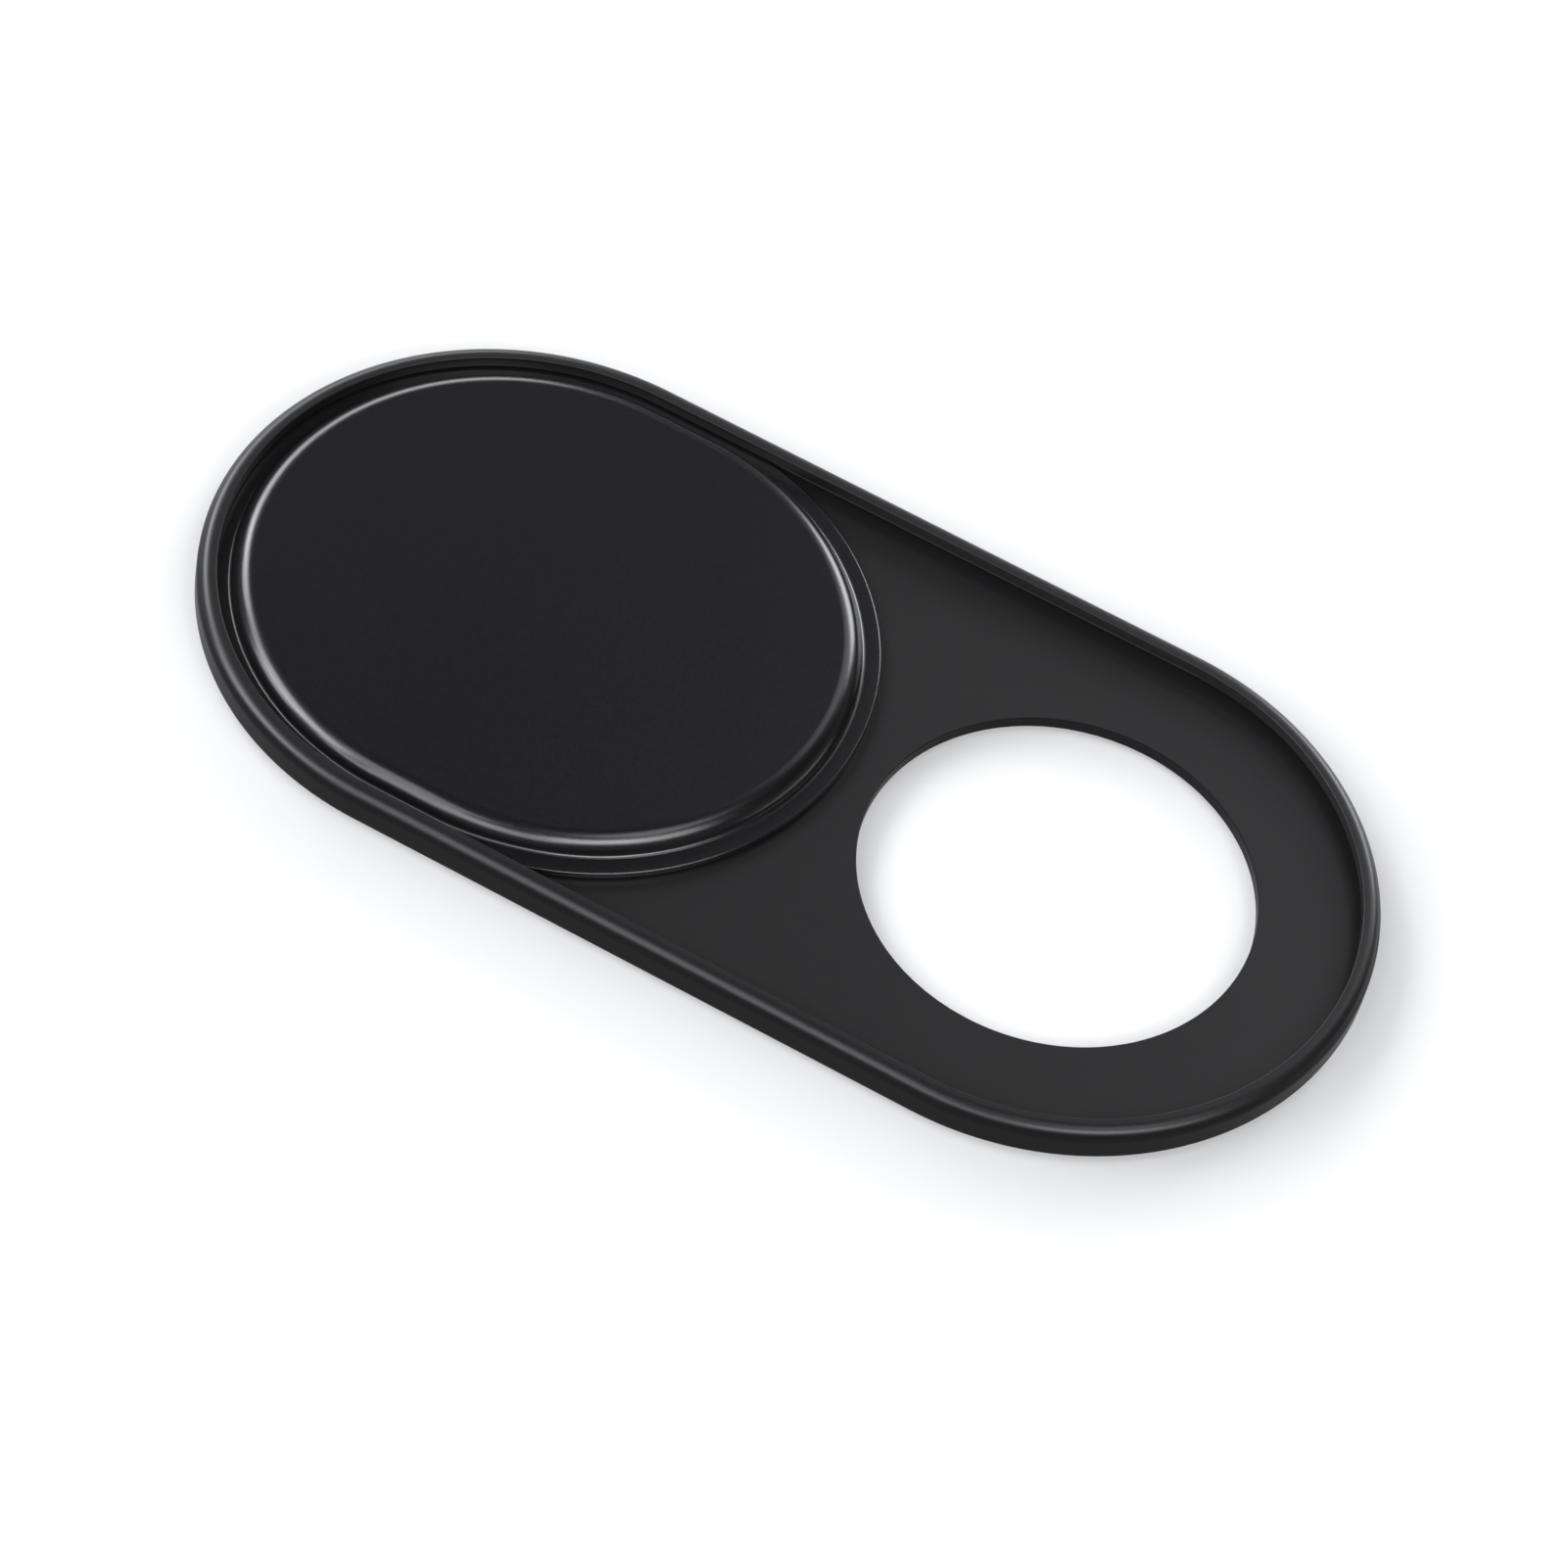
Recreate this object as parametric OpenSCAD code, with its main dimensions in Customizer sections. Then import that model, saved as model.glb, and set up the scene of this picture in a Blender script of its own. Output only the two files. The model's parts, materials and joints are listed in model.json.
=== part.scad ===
// Sliding cover for a laptop's camera.
// X runs along the tray towards the lens hole, Y across it and Z away from the screen.
// The origin is under the middle of the tray, on the face that is stuck down.

/* [Tray] */
// Length of the tray from end to end
tray_len = 18; // [17.5:0.1:26]
// Width of the tray, which is also the diameter of its round ends
tray_w = 9.2; // [8:0.1:9.7]
// Thickness of the sheet in the tray's floor
floor_t = 0.2; // [0.15:0.01:0.4]
// Thickness of the upright wall round the floor
wall_t = 0.12; // [0.1:0.01:0.16]
// Thickness of the lip that is rolled in over the channel
lip_t = 0.19; // [0.12:0.01:0.3]
// Reach of the rim's top inwards from the tray's outline
lip_reach = 0.28; // [0.26:0.01:0.4]
// Radius over the outside of the rolled rim
crown_r = 0.2; // [0.1:0.01:0.25]
// Radius along the tray's lower outside edge
base_r = 0.09; // [0.03:0.01:0.12]
// Radius on the lip's inner edges
lip_edge_r = 0.01; // [0.01:0.005:0.05]
// Radius in the channel's upper and lower corners
channel_corner_r = 0.04; // [0.01:0.01:0.06]

/* [Lens hole] */
// Diameter of the hole in front of the lens
hole_d = 5.75; // [3:0.05:6.2]
// Distance from the tray's end to the hole's edge
hole_inset = 1.715; // [1.2:0.005:2]

/* [Cover] */
// Thickness of the cover's sheet
sheet_t = 0.12; // [0.08:0.01:0.16]
// Length of the straight stretch between the cover's two round ends
cover_straight = 0.89; // [0.4:0.01:1.4]
// Width of the flange's flat, from the island's foot to the flange's edge
flange_w = 0.23; // [0.15:0.01:0.4]
// Height of the island's top over the flange
island_rise = 0.27; // [0.15:0.01:0.27]
// Radius over the island's shoulder
shoulder_r = 0.3; // [0.2:0.01:0.4]
// Radius of the hollow at the island's foot
foot_r = 0.08; // [0.07:0.01:0.15]
// Radius on the flange's upper and lower outside edges
flange_edge_r = 0.03; // [0.01:0.005:0.04]

/* [Adhesive pad] */
// Thickness of the double-sided tape
tape_t = 0.12; // [0.05:0.01:0.3]
// Distance that the pad stays back from the tray's outline
tape_setback = 0.3; // [0.15:0.05:1]
// Distance that the pad's cut-out stays back from the lens hole
tape_hole_setback = 0.25; // [0.1:0.05:0.5]

/* [Clearances] */
// Gap between the flange and the tray's floor
run_gap = 0.02; // [0.01:0.005:0.05]
// Gap between the flange and the lip over it
head_gap = 0.04; // [0.02:0.005:0.08]
// Gap between the flange's edge and the channel's wall on each side
side_gap = 0.04; // [0.03:0.005:0.06]
// Gap left between the cover and the end of the channel when it is fully open or shut
end_gap = 0.1; // [0.05:0.01:0.2]

/* [Hidden] */
$fn = 128;
// Steps over a section's larger arcs, and over the small radii on its edges
arc_steps = 10;
edge_steps = 4;
// Length by which a cutting shape passes the face that it cuts
cut_over = 1;
paint = [0.14, 0.14, 0.14];
tape_black = [0.07, 0.07, 0.07];

// Outline of the tray: half its width, and the straight stretch between its round ends
tray_r = tray_w / 2;
tray_straight = tray_len - tray_w;
hole_x = tray_len / 2 - hole_inset - hole_d / 2;

// Heights from the face that is stuck down up to the rim and the island
tray_z = tape_t;
floor_z = tray_z + floor_t;
flange_z = floor_z + run_gap;
flange_top_z = flange_z + sheet_t;
lip_z = flange_top_z + head_gap;
rim_z = lip_z + lip_t;
island_z = flange_top_z + island_rise;

// The channel, the flange that fits it, and the middle of the cover when it is open
channel_r = tray_r - wall_t;
flange_r = channel_r - side_gap;
cover_x = flange_r + cover_straight / 2 + end_gap + wall_t - tray_len / 2;

// The island's side is a shoulder arc and a foot arc that meet on one slope
side_slope = acos(1 - island_rise / (shoulder_r + foot_r));
foot_u = flange_r - flange_w;
shoulder_u = foot_u - (shoulder_r + foot_r) * sin(side_slope);

// Points on an arc about a centre, from one angle to another, without the first if skip is 1
function arc(centre, r, from, to, steps = arc_steps, skip = 0) = [
    for (i = [skip:steps])
        let (a = from + (to - from) * i / steps)
            centre + r * [cos(a), sin(a)]
];

// Sweeps half a section round an oval: x is the distance out from its middle line, y the height
module round_oval(straight) {
    for (turn = [0, 180])
        rotate([0, 0, turn])
            translate([straight / 2, 0, 0])
                rotate([0, 0, -90])
                    rotate_extrude(angle = 180)
                        children();
    translate([-straight / 2, 0, 0])
        rotate([90, 0, 90])
            linear_extrude(straight) {
                children();
                mirror([1, 0])
                    children();
            }
}

// Half of the tray's section: the floor, the wall and the lip rolled in over the channel
module tray_section() {
    channel_u = channel_r - channel_corner_r;
    lip_u = tray_r - lip_reach + lip_edge_r;
    polygon(concat(
        [[0, tray_z]],
        arc([tray_r - base_r, tray_z + base_r], base_r, -90, 0, edge_steps),
        arc([tray_r - crown_r, rim_z - crown_r], crown_r, 0, 90),
        arc([lip_u, rim_z - lip_edge_r], lip_edge_r, 90, 180, edge_steps),
        arc([lip_u, lip_z + lip_edge_r], lip_edge_r, 180, 270, edge_steps),
        arc([channel_u, lip_z - channel_corner_r], channel_corner_r, 90, 0, edge_steps),
        arc([channel_u, floor_z + channel_corner_r], channel_corner_r, 0, -90, edge_steps),
        [[0, floor_z]]
    ));
}

// Half of the cover's section: a pressed sheet of one thickness from its middle to its edge
module cover_section() {
    shoulder = [shoulder_u, island_z - shoulder_r];
    foot = [foot_u, flange_top_z + foot_r];
    edge_u = flange_r - flange_edge_r;
    polygon(concat(
        [[0, island_z]],
        arc(shoulder, shoulder_r, 90, 90 - side_slope),
        arc(foot, foot_r, 270 - side_slope, 270, skip = 1),
        arc([edge_u, flange_top_z - flange_edge_r], flange_edge_r, 90, 0, edge_steps),
        arc([edge_u, flange_z + flange_edge_r], flange_edge_r, 0, -90, edge_steps),
        arc(foot, foot_r + sheet_t, 270, 270 - side_slope),
        arc(shoulder, shoulder_r - sheet_t, 90 - side_slope, 90, skip = 1),
        [[0, island_z - sheet_t]]
    ));
}

module tray() {
    color(paint)
        difference() {
            round_oval(tray_straight)
                tray_section();
            translate([hole_x, 0, tray_z - cut_over])
                cylinder(d = hole_d, h = floor_t + 2 * cut_over);
        }
}

module cover() {
    color(paint)
        translate([cover_x, 0, 0])
            round_oval(cover_straight)
                cover_section();
}

module adhesive_pad() {
    color(tape_black)
        difference() {
            round_oval(tray_straight)
                square([tray_r - tape_setback, tape_t]);
            translate([hole_x, 0, -cut_over])
                cylinder(d = hole_d + 2 * tape_hole_setback, h = tape_t + 2 * cut_over);
        }
}

tray();
cover();
adhesive_pad();
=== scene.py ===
import json
from math import acos, cos, pi, radians, sin, tan

import bmesh
import bpy
import numpy as np
from mathutils import Matrix, Vector


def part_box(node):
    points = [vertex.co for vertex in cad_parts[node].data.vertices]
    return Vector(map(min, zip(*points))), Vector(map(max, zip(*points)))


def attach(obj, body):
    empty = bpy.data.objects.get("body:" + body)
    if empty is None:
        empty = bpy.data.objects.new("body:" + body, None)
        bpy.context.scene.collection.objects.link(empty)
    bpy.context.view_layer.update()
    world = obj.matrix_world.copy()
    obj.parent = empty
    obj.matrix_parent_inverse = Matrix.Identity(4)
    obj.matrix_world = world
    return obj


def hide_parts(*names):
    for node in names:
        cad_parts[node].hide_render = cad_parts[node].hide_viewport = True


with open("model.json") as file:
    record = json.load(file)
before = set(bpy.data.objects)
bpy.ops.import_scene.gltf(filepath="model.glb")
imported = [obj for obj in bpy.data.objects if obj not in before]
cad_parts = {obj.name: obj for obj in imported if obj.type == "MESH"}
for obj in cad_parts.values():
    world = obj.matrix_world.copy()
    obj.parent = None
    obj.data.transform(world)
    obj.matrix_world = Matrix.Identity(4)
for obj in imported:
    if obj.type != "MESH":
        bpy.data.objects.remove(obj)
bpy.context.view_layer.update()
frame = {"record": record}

# Lengths are in metres. +X runs along the tray towards the lens hole and +Z away from the screen.
MM = 0.001

# The tray's pressed sheet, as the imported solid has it
WALL_T = 0.12 * MM  # upright wall round the floor
LIP_T = 0.19 * MM  # lip rolled in over the channel
LIP_REACH = 0.28 * MM  # from the outline in to the lip's edge
CROWN_R = 0.20 * MM  # over the outside of the rolled rim
BASE_R = 0.09 * MM  # along the lower outside edge
LIP_EDGE_R = 0.01 * MM
CHANNEL_CORNER_R = 0.04 * MM
HOLE_EDGE_R = 0.012 * MM  # break on the pierced hole's two edges, under the coating

# The cover's pressed sheet
SHEET_T = 0.12 * MM
FLANGE_W = 0.23 * MM  # from the island's foot to the flange's edge
SHOULDER_R = 0.30 * MM  # over the island's shoulder
FOOT_R = 0.08 * MM  # hollow at the island's foot
FLANGE_EDGE_R = 0.03 * MM

# The die-cut tape
TAPE_HOLE_SETBACK = 0.25 * MM  # from the lens hole out to the tape's cut-out
TAPE_EDGE_R = 0.012 * MM

# Fineness of the meshes
END_STEPS = 180  # along each round end
STRAIGHT_STEPS = 24  # along each straight stretch
ARC_STEPS = 14  # over a quarter turn of a section's larger arcs
EDGE_STEPS = 5  # over a quarter turn of the small radii on its edges
SMALL_R = 0.05 * MM  # radii below this are small
SUPPORT = 0.012 * MM  # row beside an arc that keeps the flat next to it flat in the shading
SAME_POINT = 0.0001 * MM  # points nearer to each other than this are merged

# What is seen on the coating
PEEL_SPACING = 0.45 * MM  # orange peel, from crest to crest
PEEL_HEIGHT = 0.0005 * MM
GRAIN_SIZE = 0.06 * MM
GRAIN_HEIGHT = 0.00002 * MM
CLOUD_SIZE = 3 * MM  # patches of a slightly lighter tone
ROUGHNESS_SPREAD = 0.01  # up and down from the coating's roughness
SHINE = 0.5  # specular level of the coating away from the painted shade on the upright walls
WALL_SHADE_SHINE = 0.03  # specular level on the upright walls, almost none: painted shade that keeps them dark
WALL_SHADE_START = 0.09 * MM  # from the tray's outline in to where the painted shade begins
WALL_SHADE_FULL = 0.02 * MM  # from the outline in to where the painted shade is full
HOLE_SHADE_FULL = 0.004 * MM  # from the hole's wall out to where the painted shade is full

# What is seen on the tape
CELL_SIZE = 0.09 * MM  # cells of the foam
CELL_DEPTH = 0.006 * MM
SKIN_SIZE = 0.8 * MM  # roller marks and uneven skin

# Range that most of a noise pattern's values lie in
NOISE_LOW = 0.3
NOISE_HIGH = 0.7

# The photograph's view
CAMERA_AZIMUTH = 17.29
CAMERA_ELEVATION = 51.46
CAMERA_ROLL = 13.55
CAMERA_VIEW = 15.23  # angle across the square frame
CAMERA_DISTANCE = 83.46 * MM
CAMERA_AIM = Vector((0.266, -0.362, -0.158)) * MM
CAMERA_NEAR = 5 * MM  # what is nearer to the camera isn't drawn
CAMERA_FAR = 5  # what is farther away isn't drawn
SENSOR = 36  # width in millimetres, as the camera's own setting takes it

# The white table
FLOOR_WIDTH = 2.0
FLOOR_GAP = 0.02 * MM  # below the tape
FLOOR_COLOUR = "#dedede"
FLOOR_GLOW = 0.2

# The pale surroundings at the level of the table, the dark room above them, and where they meet
HORIZON_GLOW = 0.15
ROOM_GLOW = 0.0
HORIZON_TOP = 0.4  # sine of the elevation

LAMP_DISTANCE = 0.5
LAMP_WIDTH = 0.19
LAMP_COLOUR = "#fbfcff"

# Name, azimuth, elevation and radiance of each soft light
LAMPS = [
    ("back_low_light", 79, 20, 6.0),
    ("back_left_low_light", 124, 22, 3.3),
    ("back_left_light", 148, 23, 4.1),
    ("left_back_light", 162, 34, 4.5),
    ("left_light", 194, 40, 4.1),
    ("left_front_low_light", 205, 24, 3.4),
    ("front_left_light", 222, 38, 4.7),
    ("front_left_low_light", 245, 22, 2.0),
    ("front_light", 262, 40, 2.8),
    ("back_high_light", 83, 44, 0.9),
    ("front_inner_right_light", 288, 38, 2.2),
    ("front_right_light", 314, 46, 4.7),
    ("right_front_light", 338, 40, 3.3),
    ("front_top_light", 240, 60, 1.8),
    ("right_top_light", 0, 70, 1.7),
]

tray_low, tray_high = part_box("tray")
cover_low, cover_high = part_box("cover")
tape_low, tape_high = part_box("adhesive_pad")
aperture = next(m for m in frame["record"]["mounts"] if m["name"] == "lens_aperture")
hole_x = aperture["pos_m"][0]
hole_r = aperture["dims"]["r_mm"] * MM
floor_t = aperture["dims"]["length_mm"] * MM


def arc(centre, radius, start, end):
    """Points (distance out, height) on an arc: the centre plus the radius times the cosine and the
    sine of an angle that goes evenly from start to end, both in degrees."""
    quarter_steps = EDGE_STEPS if radius < SMALL_R else ARC_STEPS
    steps = max(2, round(quarter_steps * abs(end - start) / 90))
    angle = np.radians(np.linspace(start, end, steps + 1))
    return np.column_stack([centre[0] + radius * np.cos(angle), centre[1] + radius * np.sin(angle)])


def flat(start, end):
    """Points inside a straight run of a section: one just after its start and one just before its
    end, so that the arcs beside it don't bend its shading."""
    start, end = np.array(start), np.array(end)
    step = (end - start) / np.linalg.norm(end - start) * SUPPORT
    return np.array([start + step, end - step])


def joined(*bends):
    """A section's bends in their order, with the two points of flat on the straight run from the
    last point of each to the first point of the next."""
    parts = [bends[0]]
    for before, after in zip(bends, bends[1:]):
        parts += [flat(before[-1], after[0]), after]
    return np.concatenate(parts)


def oval_path(straight, centre_x=0.0):
    """Middle-line points and outward directions round an oval, counter-clockwise from the start of
    the end at +X. On a round end the middle-line point stays and the direction turns half a turn,
    and along a straight stretch the point moves from one end to the other and the direction stays."""
    turn = np.linspace(-pi / 2, pi / 2, END_STEPS + 1)
    move = np.linspace(1, -1, STRAIGHT_STEPS + 1)[1:-1]
    x = np.concatenate([np.ones_like(turn), move, -np.ones_like(turn), -move]) * straight / 2
    back_side, front_side = np.full_like(move, pi / 2), np.full_like(move, -pi / 2)
    angle = np.concatenate([turn, back_side, turn + pi, front_side])
    return x + centre_x, angle


def swept(section, path):
    """The section carried round the path: each point (distance out, height) goes from the
    middle-line point along the outward direction by its distance, at its height. Rows follow the
    path, columns the section."""
    x, angle = path
    out, height = section[:, 0], section[:, 1]
    points = np.empty((len(x), len(section), 3))
    points[..., 0] = x[:, None] + np.outer(np.cos(angle), out)
    points[..., 1] = np.outer(np.sin(angle), out)
    points[..., 2] = height
    return points


def ringed(section, towards):
    """The section turned round the lens hole's axis: each point lies at its own distance from the
    axis, in the direction of the outline's point in the same row, so that rows run straight from
    the hole to the outline."""
    angle = np.arctan2(towards[:, 1], towards[:, 0] - hole_x)
    points = np.empty((len(towards), len(section), 3))
    points[..., 0] = hole_x + np.outer(np.cos(angle), section[:, 0])
    points[..., 1] = np.outer(np.sin(angle), section[:, 0])
    points[..., 2] = section[:, 1]
    return points


def hole_section(radius, low, high, edge_r):
    """Section of a pierced hole: from the face above it, round its upper edge, down its wall and
    round its lower edge to the face below."""
    middle = radius + edge_r
    upper = arc((middle, high - edge_r), edge_r, 90, 180)
    lower = arc((middle, low + edge_r), edge_r, 180, 270)
    aside = (SUPPORT, 0)
    return np.concatenate([[upper[0] + aside], joined(upper, lower), [lower[-1] + aside]])


def make_piece(name, points, closed):
    """A mesh from a grid of points whose rows close on each other. Each cell is a face, its corners
    taken in the order that faces it outwards. Columns close too where the section is a whole loop,
    and otherwise the first and last columns lie on the middle line, where their equal points are
    merged."""
    rows, columns = points.shape[:2]
    index = np.arange(rows * columns).reshape(rows, columns)
    ahead = np.roll(index, -1, axis=0)
    last = columns if closed else columns - 1
    beside = np.roll(index, -1, axis=1)[:, :last]
    ahead_beside = np.roll(ahead, -1, axis=1)[:, :last]
    cells = np.stack([index[:, :last], ahead[:, :last], ahead_beside, beside], axis=-1)
    mesh = bpy.data.meshes.new(name)
    mesh.from_pydata(points.reshape(-1, 3), [], cells.reshape(-1, 4))
    if not closed:
        merged = bmesh.new()
        merged.from_mesh(mesh)
        bmesh.ops.remove_doubles(merged, verts=merged.verts, dist=SAME_POINT)
        merged.to_mesh(mesh)
        merged.free()
    mesh.shade_smooth()
    mesh.update()
    piece = bpy.data.objects.new(name, mesh)
    bpy.context.scene.collection.objects.link(piece)
    return piece


def tray_points():
    """The tray as one closed loop of section carried once round: from the hole's lower edge out
    under the floor, up the outside, over the rolled rim, under the lip, down the channel and back
    over the floor to the hole."""
    radius, base, top = tray_high.y, tray_low.z, tray_high.z
    floor_z, lip_z = base + floor_t, top - LIP_T
    inner = radius - WALL_T - CHANNEL_CORNER_R
    lip = radius - LIP_REACH + LIP_EDGE_R
    base_arc = arc((radius - BASE_R, base + BASE_R), BASE_R, -90, 0)
    crown_arc = arc((radius - CROWN_R, top - CROWN_R), CROWN_R, 0, 90)
    lip_top_arc = arc((lip, top - LIP_EDGE_R), LIP_EDGE_R, 90, 180)
    lip_low_arc = arc((lip, lip_z + LIP_EDGE_R), LIP_EDGE_R, 180, 270)
    upper_arc = arc((inner, lip_z - CHANNEL_CORNER_R), CHANNEL_CORNER_R, 90, 0)
    lower_arc = arc((inner, floor_z + CHANNEL_CORNER_R), CHANNEL_CORNER_R, 0, -90)
    section = np.concatenate([
        [base_arc[0] - (SUPPORT, 0)],
        joined(base_arc, crown_arc, lip_top_arc, lip_low_arc, upper_arc, lower_arc),
        [(inner - SUPPORT, floor_z)],
    ])
    outside = swept(section, oval_path((tray_high.x - tray_high.y) * 2))
    hole = ringed(hole_section(hole_r, base, floor_z, HOLE_EDGE_R), outside[:, -1])
    return np.concatenate([outside, hole], axis=1)


def cover_points():
    """The cover as half a section carried round an oval: from the middle of the island's top over
    the shoulder, down the foot to the flange's edge, and back under the sheet at one thickness to
    the middle."""
    radius, base, top = cover_high.y, cover_low.z, cover_high.z
    flange_top = base + SHEET_T
    slope = np.degrees(acos(1 - (top - flange_top) / (SHOULDER_R + FOOT_R)))
    foot = (radius - FLANGE_W, flange_top + FOOT_R)
    shoulder = (foot[0] - (SHOULDER_R + FOOT_R) * sin(radians(slope)), top - SHOULDER_R)
    edge = radius - FLANGE_EDGE_R
    side = np.concatenate([
        arc(shoulder, SHOULDER_R, 90, 90 - slope),
        arc(foot, FOOT_R, 270 - slope, 270)[1:],
    ])
    edge_top = arc((edge, flange_top - FLANGE_EDGE_R), FLANGE_EDGE_R, 90, 0)
    edge_low = arc((edge, base + FLANGE_EDGE_R), FLANGE_EDGE_R, 0, -90)
    under_side = np.concatenate([
        arc(foot, FOOT_R + SHEET_T, 270, 270 - slope),
        arc(shoulder, SHOULDER_R - SHEET_T, 90 - slope, 90)[1:],
    ])
    middle = [0, shoulder[0] / 2, shoulder[0] - SUPPORT]
    section = np.concatenate([
        [(out, top) for out in middle],
        joined(side, edge_top, edge_low, under_side),
        [(out, top - SHEET_T) for out in reversed(middle)],
    ])
    path = oval_path(cover_high.x - cover_low.x - 2 * radius, (cover_high.x + cover_low.x) / 2)
    return swept(section[::-1], path)


def tape_points():
    """The tape as one closed loop of section, from the lens cut-out's lower edge out to the die-cut
    outline and back over the top."""
    radius = tape_high.y - TAPE_EDGE_R
    low_edge = arc((radius, tape_low.z + TAPE_EDGE_R), TAPE_EDGE_R, -90, 0)
    top_edge = arc((radius, tape_high.z - TAPE_EDGE_R), TAPE_EDGE_R, 0, 90)
    aside = (SUPPORT, 0)
    section = np.concatenate([
        [low_edge[0] - aside], joined(low_edge, top_edge), [top_edge[-1] - aside]])
    outside = swept(section, oval_path((tape_high.x - tape_high.y) * 2))
    cut_section = hole_section(hole_r + TAPE_HOLE_SETBACK, tape_low.z, tape_high.z, TAPE_EDGE_R)
    cut_out = ringed(cut_section, outside[:, -1])
    return np.concatenate([outside, cut_out], axis=1)


def linear(code):
    """Linear colour of an sRGB hex value: a channel c becomes ((c + 0.055) / 1.055) to the power
    2.4, or c / 12.92 where it is below 0.04045."""
    channels = [int(code[i:i + 2], 16) / 255 for i in (1, 3, 5)]
    return [c / 12.92 if c < 0.04045 else ((c + 0.055) / 1.055) ** 2.4 for c in channels] + [1.0]


def add(tree, kind, inputs=(), **settings):
    """Adds a node, gives it its settings, and fills its inputs: a socket is linked and a value is
    set."""
    made = tree.nodes.new(kind)
    for name, value in settings.items():
        setattr(made, name, value)
    for name, value in dict(inputs).items():
        if isinstance(value, bpy.types.NodeSocket):
            tree.links.new(value, made.inputs[name])
        else:
            made.inputs[name].default_value = value
    return made


def new_material(name):
    """An empty node material and the node that its surface goes to."""
    material = bpy.data.materials.new(name)
    material.use_nodes = True
    material.node_tree.nodes.clear()
    return material, material.node_tree, add(material.node_tree, "ShaderNodeOutputMaterial")


def upright_walls(tree, place):
    """Factor that is 1 on the tray's upright outside and on the hole's wall, and 0 from the crown
    inwards. Outside, it rises with the distance from the outline's middle line: the length of
    (|x| less half the straight stretch, but no less than 0; y). At the hole it rises as the distance
    from the hole's axis falls."""
    half_straight = tray_high.x - tray_high.y
    axes = add(tree, "ShaderNodeSeparateXYZ", {0: place}).outputs
    along = add(tree, "ShaderNodeMath", {0: axes["X"]}, operation="ABSOLUTE").outputs[0]
    along = add(tree, "ShaderNodeMath", {0: along, 1: half_straight}, operation="SUBTRACT").outputs[0]
    along = add(tree, "ShaderNodeMath", {0: along, 1: 0.0}, operation="MAXIMUM").outputs[0]
    out = add(tree, "ShaderNodeCombineXYZ", {"X": along, "Y": axes["Y"]}).outputs[0]
    out = add(tree, "ShaderNodeVectorMath", {0: out}, operation="LENGTH").outputs["Value"]
    outside = add(tree, "ShaderNodeMapRange", {
        "Value": out, "From Min": tray_high.y - WALL_SHADE_START,
        "From Max": tray_high.y - WALL_SHADE_FULL}, interpolation_type="SMOOTHSTEP")
    beside = add(tree, "ShaderNodeMath", {0: axes["X"], 1: hole_x}, operation="SUBTRACT").outputs[0]
    beside = add(tree, "ShaderNodeCombineXYZ", {"X": beside, "Y": axes["Y"]}).outputs[0]
    beside = add(tree, "ShaderNodeVectorMath", {0: beside}, operation="LENGTH").outputs["Value"]
    hole = add(tree, "ShaderNodeMapRange", {
        "Value": beside, "From Min": hole_r + HOLE_EDGE_R,
        "From Max": hole_r + HOLE_SHADE_FULL}, interpolation_type="SMOOTHSTEP")
    both = {0: outside.outputs["Result"], 1: hole.outputs["Result"]}
    return add(tree, "ShaderNodeMath", both, operation="MAXIMUM").outputs[0]


def satin_black_coating(name, dark, light, roughness, ior, shade_walls):
    """Black enamel, sprayed and baked on pressed sheet. It levels out smooth, so the eye gets soft
    highlights on the bends, a slight orange peel and a very fine matting grain. With the last argument
    set, the specular level falls almost to nothing on the upright outside wall and in the pierced
    hole: painted shade that keeps them dark."""
    material, tree, output = new_material(name)
    place = add(tree, "ShaderNodeTexCoord").outputs["Object"]
    # Orange peel, about 0.45 mm from crest to crest and half a micron high
    peel = add(tree, "ShaderNodeTexNoise", {"Vector": place, "Scale": 1 / PEEL_SPACING, "Detail": 1.0})
    # Matting grain of about 0.02 mm, drawn at 0.06 mm so that the render can show it
    grain = add(tree, "ShaderNodeTexNoise", {"Vector": place, "Scale": 1 / GRAIN_SIZE, "Detail": 0.0})
    # Cloudiness of the tone, 3 mm across, from uneven film build
    cloud = add(tree, "ShaderNodeTexNoise", {"Vector": place, "Scale": 1 / CLOUD_SIZE, "Detail": 2.0})
    tone = add(tree, "ShaderNodeMix", {
        "Factor": cloud.outputs["Fac"], "A": linear(dark), "B": linear(light)}, data_type="RGBA")
    gloss = add(tree, "ShaderNodeMapRange", {
        "Value": grain.outputs["Fac"], "From Min": NOISE_LOW, "From Max": NOISE_HIGH,
        "To Min": roughness - ROUGHNESS_SPREAD, "To Max": roughness + ROUGHNESS_SPREAD})
    bump = add(tree, "ShaderNodeBump", {
        "Height": peel.outputs["Fac"], "Strength": 1.0, "Distance": PEEL_HEIGHT})
    bump = add(tree, "ShaderNodeBump", {
        "Height": grain.outputs["Fac"], "Strength": 1.0, "Distance": GRAIN_HEIGHT,
        "Normal": bump.outputs["Normal"]})
    shader = add(tree, "ShaderNodeBsdfPrincipled", {
        "Base Color": tone.outputs["Result"], "Roughness": gloss.outputs["Result"], "IOR": ior,
        "Normal": bump.outputs["Normal"]})
    # Painted shade: the specular level drops almost to nothing on the upright outside wall and the
    # hole's wall, so that they stay dark.
    if shade_walls:
        specular_with_painted_shade = add(tree, "ShaderNodeMapRange", {
            "Value": upright_walls(tree, place), "To Min": SHINE, "To Max": WALL_SHADE_SHINE})
        tree.links.new(specular_with_painted_shade.outputs["Result"], shader.inputs["Specular IOR Level"])
    tree.links.new(shader.outputs["BSDF"], output.inputs["Surface"])
    return material


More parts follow.
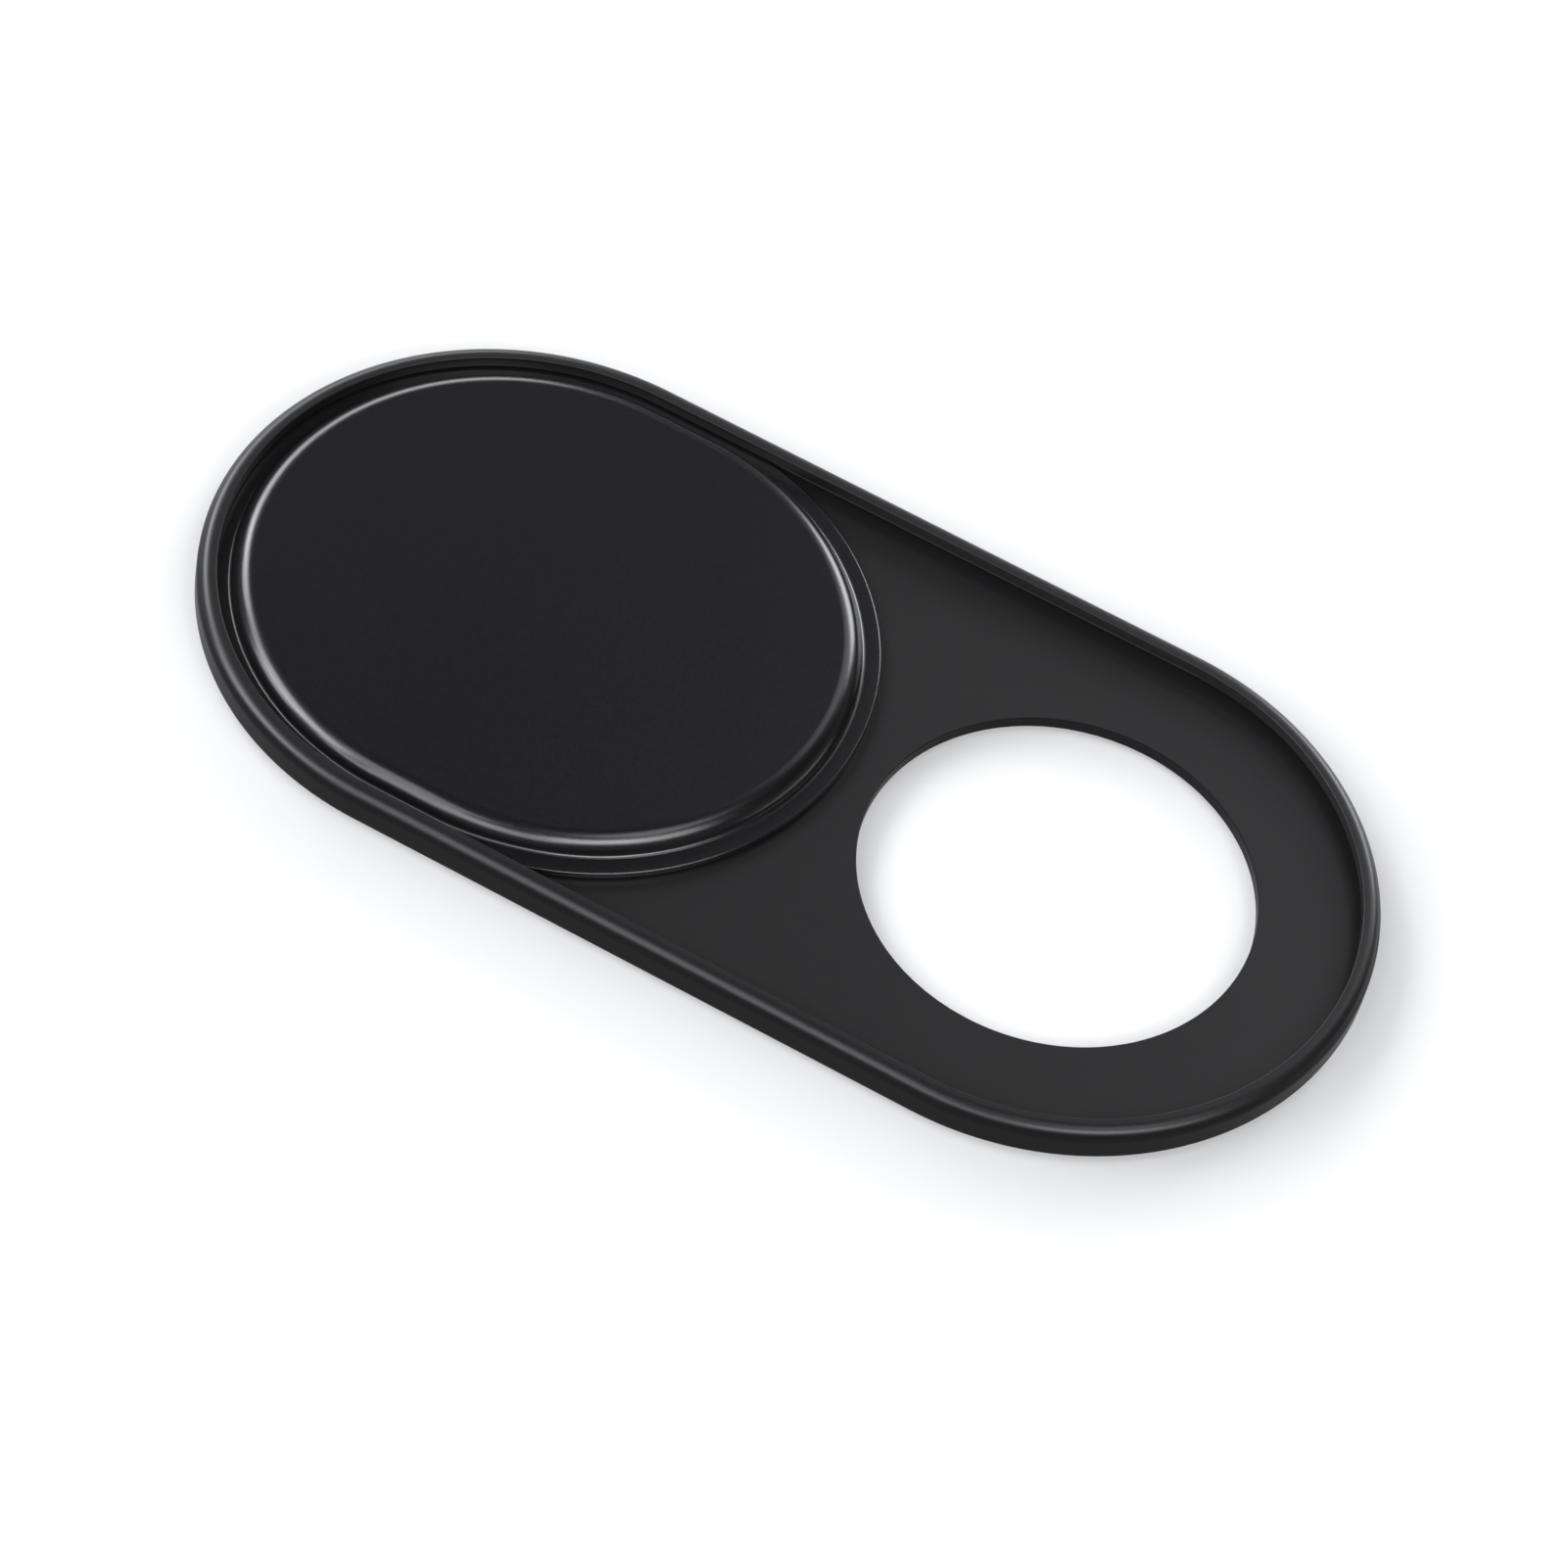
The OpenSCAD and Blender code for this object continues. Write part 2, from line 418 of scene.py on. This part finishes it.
def acrylic_foam_tape():
    """Black acrylic foam tape with a tacky skin: nearly matt, with the fine cells of the foam
    showing as a pebbled grain."""
    material, tree, output = new_material("acrylic_foam_tape")
    place = add(tree, "ShaderNodeTexCoord").outputs["Object"]
    # Foam cells of about 0.09 mm
    cells = add(tree, "ShaderNodeTexVoronoi", {
        "Vector": place, "Scale": 1 / CELL_SIZE}, feature="SMOOTH_F1")
    # Roller marks and uneven skin, about 0.8 mm across
    skin = add(tree, "ShaderNodeTexNoise", {"Vector": place, "Scale": 1 / SKIN_SIZE, "Detail": 4.0})
    # The tone is darker between the cells, where the bump sinks: painted shade in the crevices.
    tone = add(tree, "ShaderNodeMix", {
        "Factor": cells.outputs["Distance"], "A": linear("#1d1d1e"), "B": linear("#121213")},
        data_type="RGBA")
    gloss = add(tree, "ShaderNodeMapRange", {
        "Value": skin.outputs["Fac"], "From Min": NOISE_LOW, "From Max": NOISE_HIGH,
        "To Min": 0.5, "To Max": 0.75})
    bump = add(tree, "ShaderNodeBump", {
        "Height": cells.outputs["Distance"], "Strength": 1.0, "Distance": CELL_DEPTH}, invert=True)
    shader = add(tree, "ShaderNodeBsdfPrincipled", {
        "Base Color": tone.outputs["Result"], "Roughness": gloss.outputs["Result"],
        "IOR": 1.47, "Normal": bump.outputs["Normal"]})
    tree.links.new(shader.outputs["BSDF"], output.inputs["Surface"])
    return material


def floor_white():
    """White table: a matt white that takes the light and the object's shadow, with the rest of the
    way to white added where the camera, a reflection or a transparent surface looks at it. From
    below it is clear."""
    material, tree, output = new_material("floor_white")
    rays = add(tree, "ShaderNodeLightPath").outputs
    seen = add(tree, "ShaderNodeMath", {
        0: rays["Is Camera Ray"], 1: rays["Is Glossy Ray"]}, operation="MAXIMUM")
    seen = add(tree, "ShaderNodeMath", {
        0: seen.outputs[0], 1: rays["Is Transmission Ray"]}, operation="MAXIMUM")
    glow = add(tree, "ShaderNodeMath", {0: seen.outputs[0], 1: FLOOR_GLOW}, operation="MULTIPLY")
    matt = add(tree, "ShaderNodeBsdfDiffuse", {"Color": linear(FLOOR_COLOUR)})
    light = add(tree, "ShaderNodeEmission", {"Strength": glow.outputs[0]})
    both = add(tree, "ShaderNodeAddShader", {0: matt.outputs[0], 1: light.outputs[0]})
    clear = add(tree, "ShaderNodeBsdfTransparent")
    under = add(tree, "ShaderNodeNewGeometry").outputs["Backfacing"]
    shader = add(tree, "ShaderNodeMixShader", {0: under, 1: both.outputs[0], 2: clear.outputs[0]})
    tree.links.new(shader.outputs[0], output.inputs["Surface"])
    return material


def make_floor():
    """A flat square far wider than the view, a little below the tape."""
    mesh = bpy.data.meshes.new("floor")
    corner = np.array([(-1, -1), (1, -1), (1, 1), (-1, 1)]) * FLOOR_WIDTH / 2
    mesh.from_pydata(np.column_stack([corner, np.full(4, -FLOOR_GAP)]), [], [(0, 1, 2, 3)])
    floor = bpy.data.objects.new("floor", mesh)
    bpy.context.scene.collection.objects.link(floor)
    floor.data.materials.append(floor_white())


def make_world():
    """White behind the object for the camera and for what is seen through a clear surface. For the
    rest it is a dark studio with the pale surroundings of the table round the horizon: the strength
    falls evenly from HORIZON_GLOW where the view is level to ROOM_GLOW where its sine of elevation
    reaches HORIZON_TOP. A mirrored ray gets the dark studio too, because the photograph's black
    mirrors one."""
    world = bpy.data.worlds.new("studio")
    bpy.context.scene.world = world
    world.use_nodes = True
    tree = world.node_tree
    tree.nodes.clear()
    towards = add(tree, "ShaderNodeTexCoord").outputs["Generated"]
    rise = add(tree, "ShaderNodeSeparateXYZ", {0: towards}).outputs["Z"]
    glow = add(tree, "ShaderNodeMapRange", {
        "Value": rise, "From Min": 0.0, "From Max": HORIZON_TOP,
        "To Min": HORIZON_GLOW, "To Max": ROOM_GLOW})
    rays = add(tree, "ShaderNodeLightPath").outputs
    seen = add(tree, "ShaderNodeMath", {
        0: rays["Is Camera Ray"], 1: rays["Is Transmission Ray"]}, operation="MAXIMUM")
    glow = add(tree, "ShaderNodeMath", {
        0: glow.outputs["Result"], 1: seen.outputs[0]}, operation="MAXIMUM")
    sky = add(tree, "ShaderNodeBackground", {"Color": linear("#ffffff"), "Strength": glow.outputs[0]})
    output = add(tree, "ShaderNodeOutputWorld")
    tree.links.new(sky.outputs[0], output.inputs["Surface"])


def make_camera():
    """A camera that looks at the aim point from its azimuth and elevation, turned by its roll about
    the line of sight. Its three axes are the right, the up and the backward direction, and roll
    turns the first two."""
    a, e, r = radians(CAMERA_AZIMUTH), radians(CAMERA_ELEVATION), radians(CAMERA_ROLL)
    back = Vector((sin(a) * cos(e), -cos(a) * cos(e), sin(e)))
    level = Vector((cos(a), sin(a), 0))
    upright = back.cross(level)
    right = level * cos(r) + upright * sin(r)
    up = upright * cos(r) - level * sin(r)
    data = bpy.data.cameras.new("camera")
    data.sensor_width = SENSOR
    data.lens = SENSOR / 2 / tan(radians(CAMERA_VIEW / 2))
    data.clip_start, data.clip_end = CAMERA_NEAR, CAMERA_FAR
    camera = bpy.data.objects.new("camera", data)
    turned = Matrix((right, up, back)).transposed().to_4x4()
    camera.matrix_world = Matrix.Translation(CAMERA_AIM + back * CAMERA_DISTANCE) @ turned
    bpy.context.scene.collection.objects.link(camera)
    bpy.context.scene.camera = camera


def make_lamp(name, azimuth, elevation, radiance):
    """A square soft light that faces the object from an azimuth, counted from +X towards +Y, and an
    elevation. Its power is its radiance times pi times its area."""
    a, e = radians(azimuth), radians(elevation)
    away = Vector((cos(e) * cos(a), cos(e) * sin(a), sin(e)))
    data = bpy.data.lights.new(name, "AREA")
    data.shape, data.size = "SQUARE", LAMP_WIDTH
    data.energy = radiance * pi * LAMP_WIDTH ** 2
    data.color = linear(LAMP_COLOUR)[:3]
    lamp = bpy.data.objects.new(name, data)
    turned = away.to_track_quat("Z", "Y").to_matrix().to_4x4()
    lamp.matrix_world = Matrix.Translation(away * LAMP_DISTANCE) @ turned
    bpy.context.scene.collection.objects.link(lamp)


# Both coatings' roughness and IOR are matched to the photograph's highlights. Enamel's own IOR is
# about 1.5.
tray_coating = satin_black_coating(
    "tray_coating", "#1a1a1b", "#1d1d1e", roughness=0.33, ior=1.63, shade_walls=True)
tray = make_piece("pressed_tray", tray_points(), closed=True)
tray.data.materials.append(tray_coating)
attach(tray, "base")
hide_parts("tray")

cover_coating = satin_black_coating(
    "cover_coating", "#151516", "#171719", roughness=0.24, ior=1.85, shade_walls=False)
cover = make_piece("raised_cover", cover_points(), closed=False)
cover.data.materials.append(cover_coating)
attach(cover, "slider")
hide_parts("cover")

tape = make_piece("tape_pad", tape_points(), closed=True)
tape.data.materials.append(acrylic_foam_tape())
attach(tape, "base")
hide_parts("adhesive_pad")

make_floor()
for lamp in LAMPS:
    make_lamp(*lamp)

make_world()

bpy.context.scene.view_settings.view_transform = "Standard"

make_camera()
